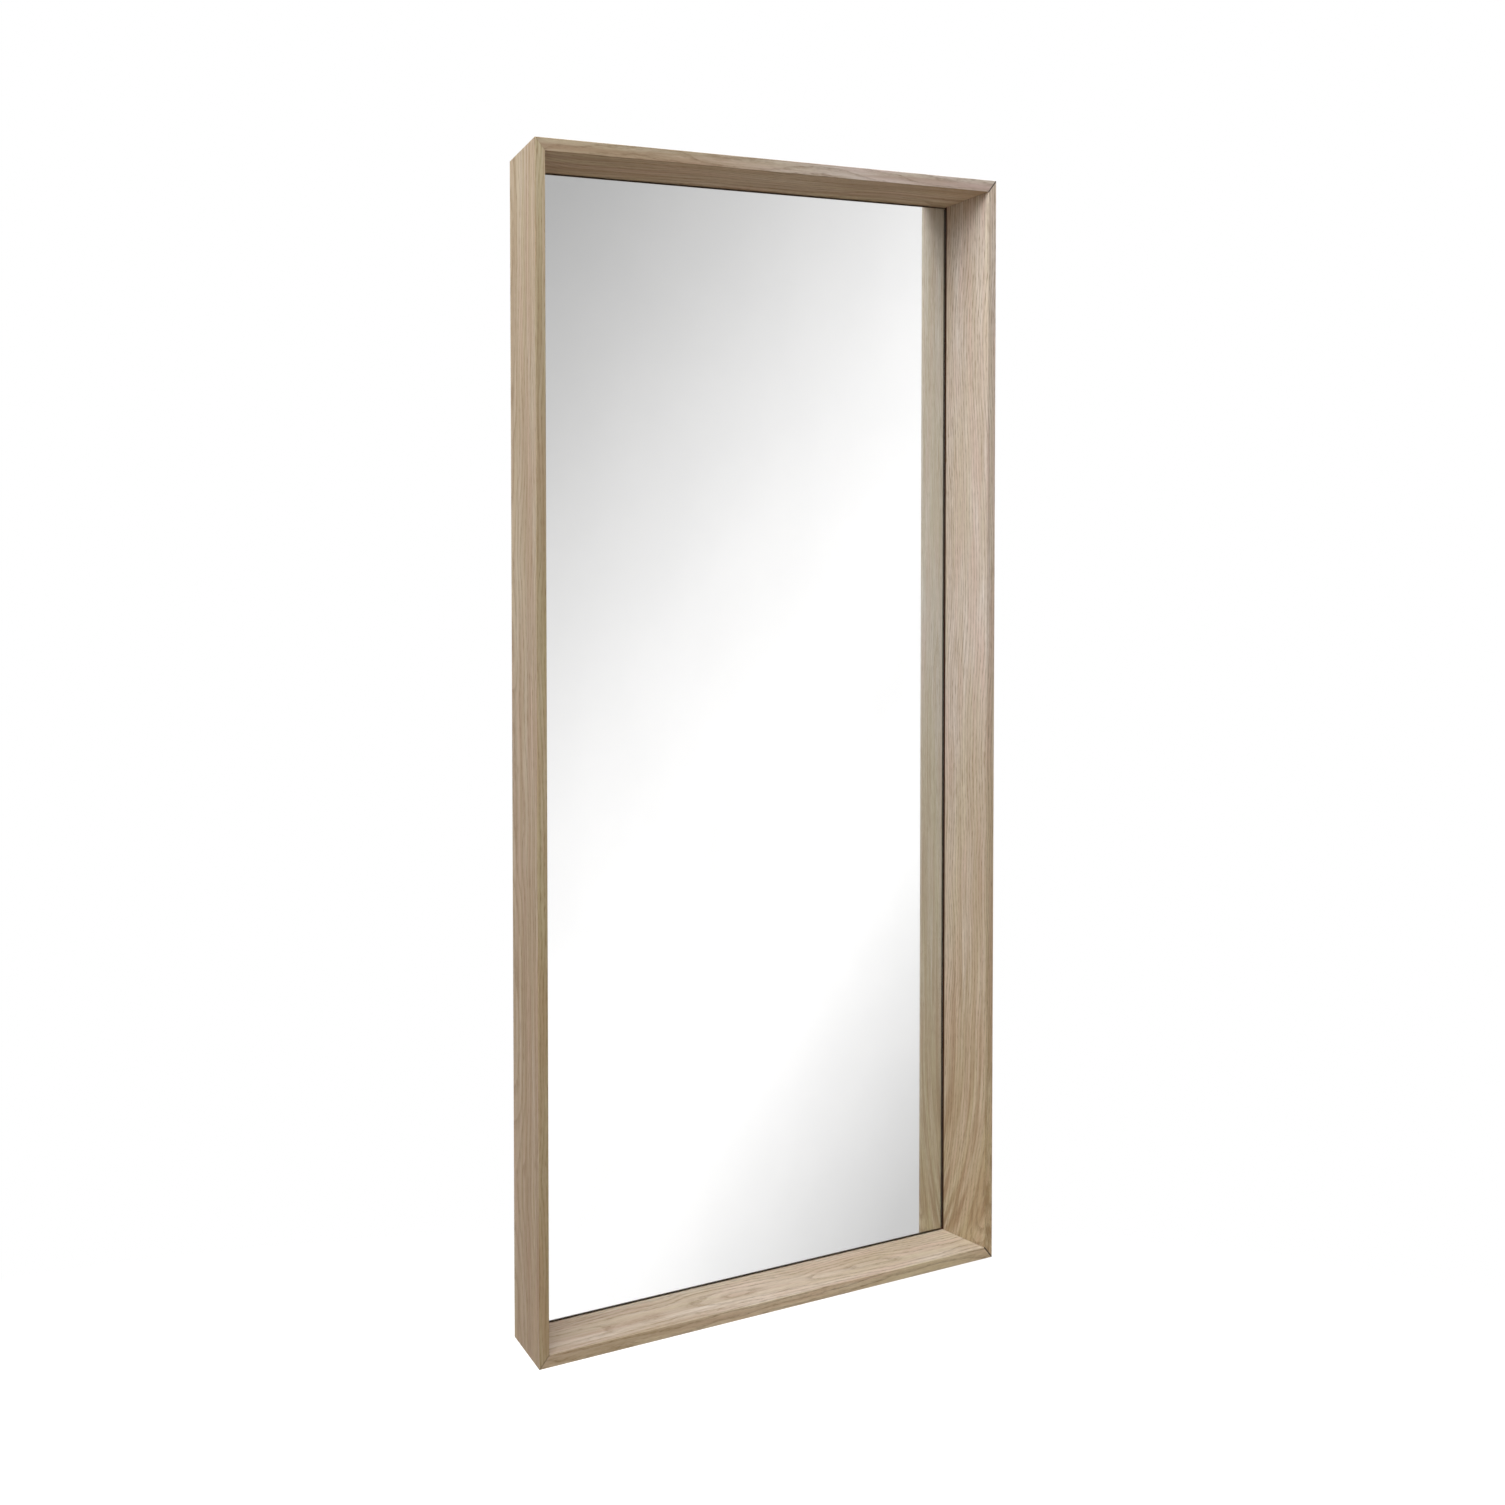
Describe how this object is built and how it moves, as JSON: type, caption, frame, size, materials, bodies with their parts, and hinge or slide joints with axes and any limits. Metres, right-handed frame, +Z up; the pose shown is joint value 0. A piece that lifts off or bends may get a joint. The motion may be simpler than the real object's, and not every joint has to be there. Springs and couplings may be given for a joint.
{
  "type": "rectangular wall mirror",
  "caption": "Rectangular wall mirror in a deep canted oak frame with mitred corners, hung on keyhole plates upright or sideways.",
  "frame": {"origin": "centre of the back face, where the mirror lies against the wall", "axes": "+X to the right seen from the front, +Y from the mirror's face into the wall, +Z up"},
  "size_m": [0.9996, 0.09, 1.7996],
  "materials": {
    "oak": "matt clear-lacquered oak veneer",
    "plywood": "raw birch plywood",
    "silvered_glass": "silvered float glass, ground edges",
    "foam": "closed-cell foam tape",
    "fibreboard": "raw medium-density fibreboard",
    "plated_steel": "zinc-plated steel",
    "screw_steel": "zinc-plated steel",
    "staple_wire": "galvanised wire"
  },
  "bodies": {
    "root": {"stile_left": "oak", "stile_right": "oak", "rail_top": "oak", "rail_bottom": "oak", "spline_top_left": "plywood", "spline_top_right": "plywood", "spline_bottom_left": "plywood", "spline_bottom_right": "plywood", "mirror_pane": "silvered_glass", "mounting_tape": "foam", "back_panel": "fibreboard", "hanger_upright_left": "plated_steel", "hanger_upright_right": "plated_steel", "hanger_sideways_top": "plated_steel", "hanger_sideways_bottom": "plated_steel", "panel_staples": "staple_wire", "hanger_screws": "screw_steel"}
  },
  "joints": []
}
